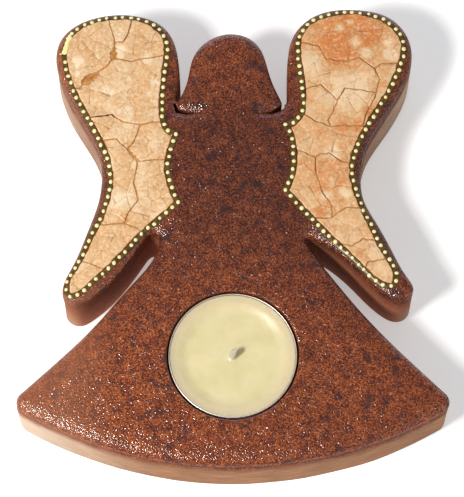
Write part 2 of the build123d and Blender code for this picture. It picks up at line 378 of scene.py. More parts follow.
def inside(points, rings):
    """Which points lie between closed rings, by counting crossings."""
    found = np.zeros(len(points), bool)
    for ring in rings:
        for first, second in zip(ring, np.roll(ring, -1, 0)):
            crosses = (first[1] > points[:, 1]) != (second[1] > points[:, 1])
            rise = second[1] - first[1]
            rise = rise if abs(rise) > 1e-12 else 1e-12
            reach = first[0] + (points[:, 1] - first[1]) * (second[0] - first[0]) / rise
            found ^= crosses & (points[:, 0] < reach)
    return found


def distance_to(points, rings):
    """How far each point is from the nearest ring."""
    nearest = np.full(len(points), np.inf)
    for ring in rings:
        for first, second in zip(ring, np.roll(ring, -1, 0)):
            along = second - first
            share = np.clip(((points - first) @ along) / max(along @ along, 1e-18), 0, 1)
            away = points - first - share[:, None] * along
            nearest = np.minimum(nearest, np.hypot(away[:, 0], away[:, 1]))
    return nearest


def fill_with_net(rings, pitch):
    """Fills the space between rings with small triangles; the ring points come first."""
    corners = np.vstack(rings)
    low, high = corners.min(0), corners.max(0)
    net = []
    for row, y in enumerate(np.arange(low[1], high[1], pitch * 0.866)):
        shift = pitch / 2 if row % 2 else 0
        net += [(x + shift, y) for x in np.arange(low[0], high[0], pitch)]
    net = np.array(net)
    net = net[inside(net, rings)]
    net = net[distance_to(net, rings) > 0.45 * pitch]
    edges, start = [], 0
    for ring in rings:
        count = len(ring)
        edges += [(start + index, start + (index + 1) % count) for index in range(count)]
        start += count
    flat = [Vector(point) for point in np.vstack([corners, net])]
    points, _, faces = delaunay_2d_cdt(flat, edges, [], 1, 1e-9)[:3]
    places = np.array([point[:] for point in points])
    faces = np.array(faces)
    middles = places[faces].mean(axis=1)
    return places, faces[inside(middles, rings)]


def object_from(mesh_or_bmesh, name, crease_angle=40):
    """Links a finished mesh as an object, with faces smooth except at sharp folds."""
    mesh = mesh_or_bmesh
    if isinstance(mesh_or_bmesh, bmesh.types.BMesh):
        mesh = bpy.data.meshes.new(name)
        mesh_or_bmesh.to_mesh(mesh)
        mesh_or_bmesh.free()
    mesh.shade_smooth()
    mesh.set_sharp_from_angle(angle=math.radians(crease_angle))
    return link_object(name, mesh)


def settle(piece, body, slot, finish, *stands_for):
    """Gives a piece its finish, its body and the part that it stands for."""
    paint(piece, finish)
    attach(piece, body)
    if stands_for:
        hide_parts(*stands_for)


# %% [markdown]
# ## The clay slab
# The engineering model already has the true outline, the rounded lips, the slits and the pocket, so
# a copy of its mesh is the best start. Its walls are perfectly straight, though, and a wall cut
# with a wire by hand is not. The copy's walls are cut into level courses, and each point is pushed
# in or out a little by smooth noise. The top face and its lips are left out of this, because the
# mosaics and dots sit on them.

# %% Wobble the walls by hand
slab = merged_copy("clay_body")
LIP_HEIGHT = 2.3 * MM
FACE_PITCH = 0.75 * MM
COURSE = 1.5 * MM
SOFTEN_ROUNDS = 16
LOOK_OUT = 45 * MM
lip_start = slab_high.z - LIP_HEIGHT
face_area = flat_top(slab)
face_rings = rings_round(face_area)
ring_places = [np.array([vertex.co.xy[:] for vertex in ring]) for ring in face_rings]
places, triangles = fill_with_net(ring_places, FACE_PITCH)
bmesh.ops.delete(slab, geom=list(face_area), context="FACES_ONLY")
rim_vertices = [vertex for ring in face_rings for vertex in ring]
inner_vertices = [
    slab.verts.new((x, y, slab_high.z)) for x, y in places[len(rim_vertices):]
]
face_vertices = rim_vertices + inner_vertices
for corners in triangles:
    slab.faces.new([face_vertices[corner] for corner in corners])
for level in np.arange(COURSE, lip_start, COURSE):
    bmesh.ops.bisect_plane(
        slab, geom=slab.verts[:] + slab.edges[:] + slab.faces[:],
        plane_co=(0, 0, level), plane_no=(0, 0, 1), dist=1e-7,
    )
bmesh.ops.recalc_face_normals(slab, faces=slab.faces)
slab.normal_update()
slab_tree = BVHTree.FromBMesh(slab)
pocket_low, pocket_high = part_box("tealight_cup")
pocket_centre = (pocket_low + pocket_high) / 2
pocket_reach = (pocket_high.x - pocket_low.x) / 2 + 2 * MM


def in_pocket(point):
    return (point - pocket_centre).xy.length < pocket_reach


def wall_openness(point, outward):
    """The share of level directions from a wall that run clear of the clay."""
    clear = 0
    turns = (-60, -36, -12, 12, 36, 60)
    for turn in turns:
        angle = math.atan2(outward.y, outward.x) + math.radians(turn)
        direction = Vector((math.cos(angle), math.sin(angle), 0))
        hit = slab_tree.ray_cast(point + outward * 0.05 * MM, direction, LOOK_OUT)[0]
        clear += hit is None
    return clear / len(turns)


open_wall = slab.verts.layers.float.new("open_wall")
moves = []
wall_points = []
for vertex in slab.verts:
    level_normal = Vector((vertex.normal.x, vertex.normal.y, 0))
    if level_normal.length < 0.3 or in_pocket(vertex.co):
        vertex[open_wall] = 0.0 if vertex.co.z > 1 * MM else 1.0
        continue
    level_normal.normalize()
    vertex[open_wall] = wall_openness(vertex.co, level_normal)
    if vertex.co.z < lip_start:
        wall_points.append(vertex.co.copy())
    hold = min(1.0, max(0.0, (lip_start - vertex.co.z) / (6 * MM)))
    place = vertex.co / MM
    swell = noise.noise(Vector((place.x / 17, place.y / 17, place.z / 30)))
    drag = noise.noise(Vector((place.x / 30, place.y / 30, place.z / 1.7)))
    moves.append((vertex, level_normal * hold * (0.30 * swell + 0.07 * drag) * MM))
walls = {vertex for vertex, move in moves}
for soften in range(SOFTEN_ROUNDS):
    softened = {}
    for vertex in walls:
        near = [edge.other_vert(vertex) for edge in vertex.link_edges]
        near = [other[open_wall] for other in near if other in walls]
        softened[vertex] = (vertex[open_wall] + sum(near)) / (1 + len(near))
    for vertex, value in softened.items():
        vertex[open_wall] = value
for vertex, move in moves:
    vertex.co += move

# %% [markdown]
# Fingers smoothed the face as well: it rolls off gently towards every cut edge, well before the
# rounded lip begins. The roll-off grows with the square of the distance left to the edge, so it
# joins the level middle of the face without a fold.

# %% Roll the face off towards its edges
ROLL_OFF, ROLL_REACH = 0.80 * MM, 7.0 * MM
wall_tree = KDTree(len(wall_points))
for index, point in enumerate(wall_points):
    wall_tree.insert((point.x, point.y, 0), index)
wall_tree.balance()
for vertex in slab.verts:
    if vertex.co.z <= lip_start:
        continue
    edge_distance = wall_tree.find((vertex.co.x, vertex.co.y, 0))[2]
    in_recess = vertex.co.z < slab_high.z - 0.3 * MM and edge_distance > 2.4 * MM
    if edge_distance > ROLL_REACH or in_recess:
        continue
    lip_share = min(1.0, (vertex.co.z - lip_start) / LIP_HEIGHT)
    vertex.co.z -= ROLL_OFF * lip_share * (1 - edge_distance / ROLL_REACH) ** 2
clay = object_from(slab, "clay_slab", 50)
settle(clay, "holder", "lacquered_clay", clay_finish, "clay_body")
print("the slab has", len(clay.data.polygons), "faces, and", len(moves), "points were pushed")

# %% [markdown]
# ## Eggshell mosaic
# Pieces of eggshell were pressed into amber glue until they cracked. Each piece of the model is one
# large flake, which itself has crazed into chips a few millimetres wide. A fine net of triangles
# fills each flake's outline, and then every chip is made: points belong to the nearest of a
# scatter of chip centres, chips are slightly domed as an eggshell is, tipped a little, and sink
# into a groove where two chips meet. The grooves are real geometry, so they catch light, and the
# same numbers go into attributes for the colour.

# %% Chip maker
FLAKE_PITCH = 0.24 * MM
RIM_STEP = 0.26 * MM
EGG_RADIUS = 24.0 * MM
rng = np.random.default_rng(11)


def scatter_chips(low, high, spacing):
    """Chip centres on a jittered net, in metres."""
    columns = np.arange(low[0] - spacing, high[0] + spacing, spacing)
    rows = np.arange(low[1] - spacing, high[1] + spacing, spacing)
    net = np.array([(x, y) for y in rows for x in columns])
    return net + rng.uniform(-0.46, 0.46, net.shape) * spacing


def wander(points, reach, size, seed):
    """Pushes points about by smooth noise, so that straight cracks wander."""
    pushed = []
    for x, y in points:
        at = Vector((x / size, y / size, seed))
        pushed.append((x + reach * noise.noise(at), y + reach * noise.noise(at + Vector((7, 3, 5)))))
    return np.array(pushed)


def ragged_rim(node, gaps):
    """A flake's outline in small steps, torn a little, and pushed back where glue shows."""
    mesh = merged_copy(node)
    ring = max(rings_round(flat_top(mesh)), key=len)
    corners = np.array([vertex.co.xy[:] for vertex in ring])
    mesh.free()
    rim = []
    for first, second in zip(corners, np.roll(corners, -1, 0)):
        steps = max(1, math.ceil(np.linalg.norm(second - first) / RIM_STEP))
        rim += [first + (second - first) * step / steps for step in range(steps)]
    rim = np.array(rim)
    outward = np.roll(rim, -1, 0) - np.roll(rim, 1, 0)
    outward = np.column_stack([outward[:, 1], -outward[:, 0]])
    outward /= np.linalg.norm(outward, axis=1)[:, None]
    torn = []
    for point, away in zip(rim, outward):
        at = Vector((*point, 0)) / MM
        sway = noise.noise_vector(at / 2.2) * 0.34 + noise.noise_vector(at / 0.7) * 0.12
        fray = 0.02 + 0.10 * noise.noise(at / 0.9 + Vector((0, 0, 40)))
        torn.append(point + (np.array(sway[:2]) + away * fray) * MM)
    torn = np.array(torn)
    for x, y, radius in gaps:
        reach = np.linalg.norm(torn - np.array((x, y)) * MM, axis=1)
        torn -= outward * np.maximum(0, radius * MM - reach)[:, None]
    return torn


def flake(node, chips, gaps, stains, name):
    """One flake of eggshell, from its outline in the model and the wing's chip centres."""
    rim = ragged_rim(node, gaps)
    bottom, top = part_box(node)[0].z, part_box(node)[1].z
    places, faces = fill_with_net([rim], FLAKE_PITCH)
    wandering = wander(places, 0.75 * MM, 3.2 * MM, 0.5)
    away = np.linalg.norm(wandering[:, None] - chips[None, :, :2], axis=2)
    nearest_two = np.argsort(away, axis=1)[:, :2]
    rows = np.arange(len(places))
    gap = away[rows, nearest_two[:, 1]] - away[rows, nearest_two[:, 0]]
    owner = nearest_two[:, 0]
    offset = places - chips[owner, :2]
    groove = np.exp(-((gap / (0.17 * MM)) ** 2)) * chips[owner, 5]
    edge = np.exp(-((distance_to(places, [rim]) / (0.13 * MM)) ** 2))
    dome = -(offset ** 2).sum(1) / (2 * EGG_RADIUS)
    tip = (offset * chips[owner, 2:4]).sum(1)
    height = dome + tip + chips[owner, 4] - 0.12 * MM * groove - 0.10 * MM * edge
    height = np.clip(height, -0.28 * MM, 0.14 * MM)
    tone = chips[owner, 6].copy()
    for x, y, radius, change in stains:
        reach = np.linalg.norm(wandering - np.array((x, y)) * MM, axis=1) / (radius * MM)
        tone += change * np.clip(1.5 - 1.5 * reach, 0, 1)

    sheet = bmesh.new()
    crack_layer = sheet.verts.layers.float.new("crack")
    tone_layer = sheet.verts.layers.float.new("chip_tone")
    upper = [sheet.verts.new((x, y, top + z)) for (x, y), z in zip(places, height)]
    for vertex, crack, stain in zip(upper, np.maximum(groove, 0.7 * edge), tone):
        vertex[crack_layer] = crack
        vertex[tone_layer] = stain
    for corners in faces:
        sheet.faces.new([upper[corner] for corner in corners])
    rim_edges = [edge for edge in sheet.edges if len(edge.link_faces) == 1]
    skirt = bmesh.ops.extrude_edge_only(sheet, edges=rim_edges)["geom"]
    for item in skirt:
        if isinstance(item, bmesh.types.BMVert):
            item.co.z = bottom
    bottom_edges = [item for item in skirt if isinstance(item, bmesh.types.BMEdge)]
    bmesh.ops.triangle_fill(sheet, use_beauty=False, edges=bottom_edges)
    bmesh.ops.recalc_face_normals(sheet, faces=sheet.faces)
    return object_from(sheet, name, 70)


# %% [markdown]
# The eggshell's colour comes from the hen and from the glue that soaked in. A pale beige ground has
# soft clouds of peach, cracks are stained amber, and a thin lacquer gives a soft gloss.

# %% Eggshell recipe
def eggshell(name, ground, stain, pale):
    finish = new_finish(name, Roughness=0.50, Coat_Weight=0.30, Coat_Roughness=0.18,
                        Subsurface_Weight=0.06, Subsurface_Scale=0.6 * MM)
    place = millimetres()
    clouds = cloud(place, 4.5, 4.0, 0.6, 0.4)
    mottle = cloud(place, 1.0, 4.0, 0.65)
    tone = attribute("chip_tone")
    crack = attribute("crack")
    soak = arithmetic("ADD", rescale(clouds, 0.3, 0.7, -0.45, 0.45), tone)
    swirl = add_node("ShaderNodeTexNoise", {"Vector": place, "Scale": 0.5}).outputs["Color"]
    bent = add_node("ShaderNodeVectorMath", {0: place, 1: swirl}, operation="ADD").outputs[0]
    fine = add_node(
        "ShaderNodeTexVoronoi", {"Vector": bent, "Scale": 0.36}, feature="DISTANCE_TO_EDGE"
    ).outputs["Distance"]
    faint = rescale(cloud(place, 5.0), 0.45, 0.6, 0.0, 0.5)
    colour = layered(
        ground,
        (rescale(soak, 0.0, 1.0), stain),
        (rescale(soak, 0.0, -0.8, 0.0, 0.9), pale),
        (rescale(mottle, 0.50, 0.70, 0.0, 0.8), pale),
        (rescale(mottle, 0.46, 0.28, 0.0, 0.35), (0.36, 0.15, 0.05)),
        (times(rescale(fine, 0.030, 0.006), faint), (0.28, 0.12, 0.04)),
        (rescale(crack, 0.20, 0.95, 0.0, 0.80), (0.33, 0.135, 0.040)),
    )
    bumps = relief(mottle, 0.03)
    bumps = relief(cloud(place, 1.9, 2.0), 0.08, bumps)
    feed(Base_Color=colour, Normal=bumps, Coat_Normal=bumps)
    return finish


shell_finishes = {
    "left": eggshell("left_eggshell", (0.69, 0.43, 0.21), (0.60, 0.29, 0.10), (0.86, 0.68, 0.46)),
    "right": eggshell("right_eggshell", (0.66, 0.38, 0.170), (0.60, 0.20, 0.045), (0.80, 0.58, 0.36)),
}

glue_finish = mottled_finish(
    "amber_glue", (1.6, 3.0), [(0.35, (0.36, 0.145, 0.032)), (0.65, (0.62, 0.29, 0.075))],
    (0.8,), 0.08, Roughness=0.25, Coat_Weight=0.5,
)
print("recipes:", [finish.name for finish in (*shell_finishes.values(), glue_finish)])

# %% [markdown]
# No mosaic is even. These short lists say where glue shows in a wide gap between flakes, and where
# a hen's pigment or the glue left the shell darker (plus) or paler (minus). Places and radii are in
# millimetres on the slab.

# %% Gaps and stains
glue_gaps = {
    "left": [
        (-44.7, 47.5, 1.5), (-43.9, 48.4, 1.6), (-42.9, 49.2, 1.4), (-41.9, 49.8, 1.1),
        (-40.9, 50.4, 0.85), (-39.8, 51.2, 0.65), (-36.4, 57.1, 1.2), (-36.6, 55.8, 1.1),
        (-36.1, 58.6, 0.7), (-36.0, 60.2, 0.5), (-34.0, 59.6, 0.6), (-46.0, 45.4, 0.9),
        (-45.4, 44.2, 0.9), (-44.8, 43.1, 0.8), (-31.1, 25.9, 0.8), (-30.4, 24.9, 0.9),
        (-29.6, 23.8, 0.8), (-28.8, 22.6, 0.6), (-24.6, 24.0, 0.6), (-33.2, 3.4, 0.6),
    ],
    "right": [(41.4, 39.5, 0.45), (34.5, 34.0, 0.4), (27.5, 33.9, 0.4), (45.2, 52.6, 0.45)],
}
stains = {
    "left": [
        (-47.6, 54.4, 2.1, -1.6), (-47.4, 50.4, 1.4, -1.3), (-34.6, 58.2, 1.8, -1.1),
        (-34.0, 56.0, 1.4, -1.0), (-25.9, 54.6, 1.7, -0.9), (-24.1, 47.5, 1.9, -0.9),
        (-38.0, 44.8, 2.2, -0.9), (-31.5, 38.0, 2.0, -0.8), (-25.9, 43.2, 1.8, -0.8),
        (-33.4, 9.8, 4.6, -0.9), (-42.0, 62.0, 7.0, 0.35), (-29.0, 60.0, 7.0, 0.30),
        (-33.0, 3.2, 2.2, 0.9), (-30.2, 2.4, 3.5, 0.5), (-40.7, -4.5, 6.0, 0.40),
        (-24.5, 25.6, 1.1, 1.2),
    ],
    "right": [
        (36.0, 63.0, 14.0, 0.95), (29.0, 60.8, 6.0, 0.60), (33.0, 65.4, 2.0, -1.3),
        (37.4, 60.8, 2.5, -1.4), (40.8, 57.2, 2.6, -1.9), (47.9, 56.6, 2.5, -1.9),
        (36.1, 67.7, 1.7, -1.2), (47.9, 60.5, 1.9, -0.9), (34.5, 44.5, 9.5, -1.0),
        (37.4, 48.4, 3.0, -0.5), (23.7, 52.3, 5.5, -0.8), (33.0, 32.7, 4.0, 0.9),
        (38.3, 33.4, 3.0, 0.9), (41.7, 38.3, 2.8, 0.9), (45.4, 46.8, 2.6, 0.8),
        (26.8, 31.4, 3.2, 0.6), (28.3, 18.5, 11.0, 0.55), (29.9, 24.9, 3.2, -1.4),
        (28.0, 11.2, 2.5, -1.3), (33.6, 12.3, 2.5, -1.1), (30.1, 15.3, 1.8, -0.9),
        (26.5, 5.4, 2.6, 0.7), (32.9, 8.6, 2.2, 0.8), (36.7, -1.6, 3.4, -0.5),
    ],
}

# %% Make every flake
for side in ("left", "right"):
    low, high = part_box(f"{side}_inlay_bed")
    centres = scatter_chips(low, high, 5.6 * MM)
    chip_count = len(centres)
    chip_table = np.column_stack([
        centres,
        rng.normal(0, 0.012, (chip_count, 2)),
        rng.uniform(-0.05, 0.04, chip_count) * MM,
        np.where(rng.random(chip_count) < 0.7, 1.0, 0.15),
        rng.uniform(-0.25, 0.25, chip_count),
    ])
    flake_nodes = sorted(name for name in nodes if name.startswith(f"{side}_shell_"))
    for node in flake_nodes:
        piece = flake(
            node, chip_table, glue_gaps[side], stains[side], node.replace("shell", "eggshell")
        )
        settle(piece, "holder", "eggshell", shell_finishes[side], node)
    paint(nodes[f"{side}_inlay_bed"], glue_finish)
    print(side, "wing:", len(flake_nodes), "flakes,", chip_count, "chip centres")

# %% [markdown]
# ## The painted band and its dots
# Round each mosaic the maker brushed a dark band and set a row of paint beads on it. Both follow
# the same line, so both are made by Geometry Nodes from one list of places: the middles of the dots
# in the engineering model. One tree turns the line into a thin ribbon and drops it on the clay with
# rays, the other puts a bead at each place and turns it to the clay's slope, because near the
# wing's edge the lip already falls away.

# %% Places of the dots
def dot_places(node):
    """The middle of each separate dot of a node, walked in order from neighbour to neighbour."""
    mesh = merged_copy(node)
    unseen, middles = set(mesh.verts), []
    while unseen:
        island, edge_of_search = set(), [unseen.pop()]
        while edge_of_search:
            vertex = edge_of_search.pop()
            island.add(vertex)
            for edge in vertex.link_edges:
                other = edge.other_vert(vertex)
                if other in unseen:
                    unseen.remove(other)
                    edge_of_search.append(other)
        middles.append(np.mean([vertex.co[:] for vertex in island], axis=0))
    mesh.free()
    middles = sorted(middles, key=lambda middle: (middle[1], middle[0]))
    walk = [middles.pop()]
    while middles:
        nearest = min(range(len(middles)), key=lambda i: np.linalg.norm(middles[i] - walk[-1]))
        walk.append(middles.pop(nearest))
    return walk


def line_object(points, name, links="none"):
    """A mesh of points: loose, joined in an open line, or joined in a ring."""
    mesh = bpy.data.meshes.new(name)
    count = len(points)
    joins = [(index, (index + 1) % count) for index in range(count)]
    joins = {"none": [], "line": joins[:-1], "ring": joins}[links]
    mesh.from_pydata([tuple(point) for point in points], joins, [])
    return link_object(name, mesh)


# %% Geometry Nodes helpers
grown = None


def new_tree(name, **inputs):
    """Opens a tree with named inputs and returns their sockets; step() below adds to it."""
    global grown
    grown = bpy.data.node_groups.new(name, "GeometryNodeTree")
    inputs = {"Geometry": ("Geometry", None), **inputs, "Finish": ("Material", None)}
    for label, (kind, default) in inputs.items():
        socket = grown.interface.new_socket(
            label.replace("_", " "), in_out="INPUT", socket_type="NodeSocket" + kind
        )
        if default is not None:
            socket.default_value = default
    grown.interface.new_socket("Geometry", in_out="OUTPUT", socket_type="NodeSocketGeometry")
    return grown.nodes.new("NodeGroupInput").outputs


def step(kind, inputs=None, **settings):
    """Adds a geometry node to the open tree and returns its first output."""
    return tree_node(grown, "GeometryNode" + kind, inputs, **settings).outputs[0]


def maths(kind, operation, first, second):
    """One step of arithmetic on numbers (Math) or on vectors (VectorMath)."""
    inputs = {0: first, 1: second}
    return tree_node(grown, "ShaderNode" + kind, inputs, operation=operation).outputs[0]


def vector(x, y, z):
    return tree_node(grown, "ShaderNodeCombineXYZ", {"X": x, "Y": y, "Z": z}).outputs[0]


def split(source):
    return tree_node(grown, "ShaderNodeSeparateXYZ", {"Vector": source}).outputs


def finish_tree(geometry, material):
    """Ends the open tree: real geometry with its material goes to the output."""
    real = step("RealizeInstances", {"Geometry": geometry})
    painted = step("SetMaterial", {"Geometry": real, "Material": material})
    grown.links.new(painted, grown.nodes.new("NodeGroupOutput").inputs[0])
    return grown


def run_tree(piece, tree, name, **values):
    """Runs a tree on an object and keeps only the plain mesh that comes out."""
    modifier = piece.modifiers.new(name, "NODES")
    modifier.node_group = tree
    for item in tree.interface.items_tree:
        label = item.name.replace(" ", "_")
        if getattr(item, "in_out", "") == "INPUT" and label in values:
            modifier[item.identifier] = values[label]
    graph = bpy.context.evaluated_depsgraph_get()
    mesh = bpy.data.meshes.new_from_object(piece.evaluated_get(graph), depsgraph=graph)
    bpy.data.objects.remove(piece)
    mesh.shade_smooth()
    return link_object(name, mesh)


RAY_START, RAY_LENGTH = 50 * MM, 60 * MM


def drop_on_clay(source, position):
    """Looks straight down from each position and returns the clay's height and slope there."""
    shape = tree_node(
        grown, "GeometryNodeObjectInfo", {"Object": source["Clay"]}, transform_space="ORIGINAL"
    ).outputs["Geometry"]
    level = split(position)
    ray = {
        "Target Geometry": shape, "Source Position": vector(level["X"], level["Y"], RAY_START),
        "Ray Direction": (0, 0, -1), "Ray Length": RAY_LENGTH,
    }
    return tree_node(grown, "GeometryNodeRaycast", ray).outputs


# %% Tree for the painted band
def band_tree():
    source = new_tree(
        "painted_band", Clay=("Object", None), Width=("Float", 1.70 * MM),
        Thickness=("Float", 0.09 * MM), Brush_Wobble=("Float", 0.2 * MM),
    )
    line = step("MeshToCurve", {"Mesh": source["Geometry"]})
    smooth = step("CurveSplineType", {"Curve": line}, spline_type="CATMULL_ROM")
    steps = step("ResampleCurve", {"Curve": smooth, "Length": 0.45 * MM}, mode="LENGTH")
    circle = step("CurvePrimitiveCircle", {"Resolution": 12, "Radius": 0.5})
    size = vector(source["Width"], source["Thickness"], 1.0)
    section = step("Transform", {"Geometry": circle, "Scale": size})
    ribbon = step("CurveToMesh", {"Curve": steps, "Profile Curve": section, "Fill Caps": True})
    place = step("InputPosition")
    ripple = tree_node(
        grown, "ShaderNodeTexNoise", {"Vector": place, "Scale": 1 / (2.2 * MM), "Detail": 2.0}
    ).outputs["Color"]
    centred = maths("VectorMath", "SUBTRACT", ripple, (0.5, 0.5, 0.5))
    level_only = maths("VectorMath", "MULTIPLY", centred, (2, 2, 0))
    push = tree_node(
        grown, "ShaderNodeVectorMath", {0: level_only, "Scale": source["Brush Wobble"]},
        operation="SCALE",
    ).outputs[0]
    brushed = step("SetPosition", {"Geometry": ribbon, "Offset": push})
    hit = drop_on_clay(source, place)
    above = split(place)
    rise = maths("Math", "ADD", above["Z"], split(hit["Hit Position"])["Z"])
    on_clay = vector(above["X"], above["Y"], rise)
    laid = step(
        "SetPosition", {"Geometry": brushed, "Selection": hit["Is Hit"], "Position": on_clay}
    )
    return finish_tree(laid, source["Finish"])


# %% Tree for the dots
def bead_tree():
    source = new_tree(
        "paint_beads", Clay=("Object", None), Bead_Radius=("Float", 0.61 * MM),
        Squash=("Float", 0.60), Size_Spread=("Float", 0.14), Seed=("Int", 5),
    )
    hit = drop_on_clay(source, step("InputPosition"))
    landed = step("SetPosition", {"Geometry": source["Geometry"], "Position": hit["Hit Position"]})
    slope = tree_node(
        grown, "FunctionNodeAlignRotationToVector", {"Vector": hit["Hit Normal"]}, axis="Z"
    ).outputs[0]
    ball = step("MeshUVSphere", {"Segments": 14, "Rings": 9, "Radius": source["Bead Radius"]})
    flattened = vector(1.0, 1.0, source["Squash"])
    dome = step("Transform", {"Geometry": ball, "Scale": flattened})
    low = maths("Math", "SUBTRACT", 1.0, source["Size Spread"])
    high = maths("Math", "ADD", 1.0, source["Size Spread"])
    sizes = tree_node(
        grown, "FunctionNodeRandomValue",
        {"Min": vector(low, low, 0.8), "Max": vector(high, high, 1.15), "Seed": source["Seed"]},
        data_type="FLOAT_VECTOR",
    ).outputs[0]
    beads = step(
        "InstanceOnPoints",
        {"Points": landed, "Instance": dome, "Rotation": slope, "Scale": sizes},
    )
    return finish_tree(beads, source["Finish"])


# %% Paint recipes
band_finish = mottled_finish(
    "dark_band", (1.3, 3.0), [(0.35, (0.056, 0.028, 0.006)), (0.68, (0.150, 0.080, 0.017))],
    (0.6,), 0.04, Roughness=0.5, Coat_Weight=0.15, Coat_Roughness=0.12, Specular_IOR_Level=0.2,
)
bead_finish = mottled_finish(
    "pale_yellow_paint", (2.0, 2.0), [(0.3, (0.84, 0.74, 0.30)), (0.7, (0.90, 0.85, 0.46))],
    (0.35,), 0.03, Roughness=0.38, Subsurface_Weight=0.15, Subsurface_Scale=0.5 * MM,
    Coat_Weight=0.25, Coat_Roughness=0.2,
)

# %% [markdown]
# On the left wing's shoulder the maker's hand slipped: a few beads were dragged into one pale
# stroke while they were wet. The beads there are left out. A row of flat beads that overlap makes
# the stroke, and a thin line crosses its lower end.

# %% Lay the bands and set the dots
SMEAR_START, SMEAR_END = Vector((-50.0, 62.6, 0)) * MM, Vector((-51.4, 57.6, 0)) * MM
SMEAR_CLEARANCE = 1.25 * MM


def distance_from_smear(place):
    along = SMEAR_END - SMEAR_START
    share = min(1.0, max(0.0, (Vector(place) - SMEAR_START).dot(along) / along.length_squared))
    return (Vector(place) - SMEAR_START - along * share).length


painted_band, paint_beads = band_tree(), bead_tree()
for number, side in enumerate(("left", "right")):
    places = dot_places(f"{side}_dots")
    shake = rng.normal(0, 0.11, (len(places), 2)) * MM
    level = [(x + dx, y + dy, 0.0) for (x, y, _), (dx, dy) in zip(places, shake)]
    beads_at = [place for place in level if distance_from_smear(place) > SMEAR_CLEARANCE]
    band = run_tree(
        line_object(level, f"{side}_line", "ring"), painted_band, f"{side}_painted_band",
        Clay=clay, Finish=band_finish,
    )
    settle(band, "holder", "lacquered_clay", band_finish)
    beads = run_tree(
        line_object([(x, y, slab_high.z) for x, y, _ in beads_at], f"{side}_points"),
        paint_beads, f"{side}_paint_dots", Clay=clay, Finish=bead_finish, Seed=5 + number,
    )
    settle(beads, "holder", "dot_paint", bead_finish, f"{side}_dots")
    print(side, "border:", len(beads_at), "of", len(places), "dots in place")

SMEAR_BEADS = 10
smear = run_tree(
    line_object(
        [SMEAR_START.lerp(SMEAR_END, bead / (SMEAR_BEADS - 1)) for bead in range(SMEAR_BEADS)],
        "smear_line",
    ),
    paint_beads, "smeared_dots", Clay=clay, Finish=bead_finish, Bead_Radius=0.78 * MM,
    Squash=0.42, Size_Spread=0.30,
)
drag_start, drag_end = Vector((-53.1, 57.0, 0)) * MM, Vector((-50.9, 57.2, 0)) * MM
drag = run_tree(
    line_object([drag_start.lerp(drag_end, step / 4) for step in range(5)], "drag_line", "line"),
    painted_band, "dragged_hair", Clay=clay, Finish=bead_finish, Width=0.32 * MM,
    Thickness=0.24 * MM, Brush_Wobble=0.15 * MM,
)
for stroke in (smear, drag):
    settle(stroke, "holder", "dot_paint", bead_finish)
    print(stroke.name, "has", len(stroke.data.polygons), "faces")

# %% [markdown]
# ## The tea light
# A tea light's cup is drawn from thin foil, which gathers into faint flutes on its way up and ends
# in a rolled edge. The cup and the wax are turned shapes, so one small lathe makes them: a profile
# in radius and height goes round an axis, and a function of the angle can push the radius in and
# out. The sustainer keeps the engineering model's shape.

# %% Lathe
candle_axis = pocket_centre.xy


def skin(mesh, rings, steps, name, crease_angle=40):
    """Joins each ring of vertices to the next; a ring of one vertex closes an end."""
    for first, second in zip(rings, rings[1:]):
        for step in range(steps):
            after = (step + 1) % steps
            corners = [
                first[step % len(first)], first[after % len(first)],
                second[after % len(second)], second[step % len(second)],
            ]
            unique = list(dict.fromkeys(corners))
            if len(unique) > 2:
                mesh.faces.new(unique)
    bmesh.ops.recalc_face_normals(mesh, faces=mesh.faces)
    return object_from(mesh, name, crease_angle)


def lathe(profile, steps, name, wobble=None):
    """Turns a closed profile of (radius, height) in metres about the candle's axis."""
    turned = bmesh.new()
    rings = []
    for radius, height in profile:
        if radius < 1e-7:
            rings.append([turned.verts.new((candle_axis.x, candle_axis.y, height))])
            continue
        ring = []
        for step in range(steps):
            angle = 2 * math.pi * step / steps
            push, lift = wobble(angle, radius, height) if wobble else (0, 0)
            ring.append(turned.verts.new((
                candle_axis.x + (radius + push) * math.cos(angle),
                candle_axis.y + (radius + push) * math.sin(angle),
                height + lift,
            )))
        rings.append(ring)
    return skin(turned, rings, steps, name)


# %% Foil cup
cup_low, cup_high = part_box("tealight_cup")
wax_low, wax_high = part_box("wax")
wax_radius = (wax_high.x - wax_low.x) / 2 + 0.2 * MM
foil = 0.18 * MM
cup_radius = 19.0 * MM
bead = 0.17 * MM
foot = 1.2 * MM


def arc(centre, radius, start, end, count):
    """Points on a circle between two angles in degrees."""
    turns = np.radians(np.linspace(start, end, count))
    return [(centre[0] + radius * math.cos(t), centre[1] + radius * math.sin(t)) for t in turns]


def cup_profile():
    """Up the outside, over the rolled edge and down the inside, starting and ending on the axis."""
    outside, inner = [(0, cup_low.z)], []
    for radius in (4, 8, 8.4, 8.8, 12.5, 12.9, 13.3, 16.5):
        ridge = 0.25 * MM if radius in (8.4, 12.9) else 0
        outside.append((radius * MM, cup_low.z + ridge))
        inner.append((radius * MM, cup_low.z + ridge + foil))
    corner = (cup_radius - foot, cup_low.z + foot)
    outside += arc(corner, foot, -90, 0, 6)
    inner += arc(corner, foot - foil, -90, 0, 6)
    wall_heights = np.linspace(cup_low.z + 2.5 * MM, cup_high.z - 1.4 * MM, 5)
    outside += [(cup_radius, height) for height in wall_heights]
    inner += [(cup_radius - foil, height) for height in wall_heights]
    outside += arc((cup_radius - foil / 2, cup_high.z - bead), bead, -60, 240, 13)
    return outside + inner[::-1] + [(0, cup_low.z + foil)]


def flutes(angle, radius, height):
    """Faint gathers in the foil's wall, gone at the foot and at the rolled edge."""
    if radius < cup_radius - 0.5 * MM:
        return 0, 0
    share = (height - cup_low.z) / (cup_high.z - cup_low.z)
    fade = math.sin(math.pi * min(1, max(0, share))) ** 0.5
    return 0.05 * MM * fade * math.sin(72 * angle + 3 * noise.noise(Vector((angle * 2, 0, 0)))), 0


